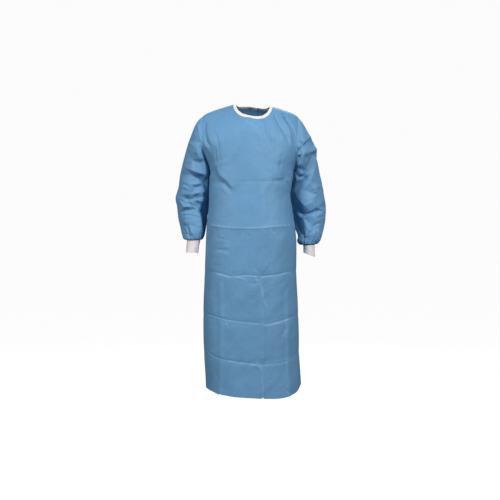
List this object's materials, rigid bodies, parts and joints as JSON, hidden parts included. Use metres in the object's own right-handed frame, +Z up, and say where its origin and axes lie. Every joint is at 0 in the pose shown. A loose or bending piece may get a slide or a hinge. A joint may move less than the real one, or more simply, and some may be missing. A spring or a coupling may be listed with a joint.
{
  "type": "surgical gown",
  "caption": "Long-sleeved wrap-over surgical gown in its worn shape: hollow body with lapped back, set-in sleeves with ribbed cuffs, bound round neck, tab and tied waist.",
  "frame": {"origin": "on the wearer's shoulder line, midway between the arms, where the wearer carries the gown", "axes": "+Z up towards the neck opening, -Y towards the front of the gown, +X towards the wearer's left"},
  "size_m": [0.6822, 0.3289, 1.307],
  "materials": {
    "gown_cloth": "crisp blue non-woven with a faint sheen",
    "white_knit": "soft white knit and tape",
    "tie_tape": "blue non-woven tape"
  },
  "bodies": {
    "root": {"front_panel": "gown_cloth", "back_panel_right": "gown_cloth", "back_panel_left": "gown_cloth", "sleeve_right": "gown_cloth", "sleeve_left": "gown_cloth", "cuff_right": "white_knit", "cuff_left": "white_knit", "neck_binding": "white_knit", "neck_tab": "white_knit", "waist_tie_right": "tie_tape", "waist_tie_left": "tie_tape", "tie_knot": "tie_tape", "tie_end_right": "tie_tape", "tie_end_left": "tie_tape"}
  },
  "joints": []
}
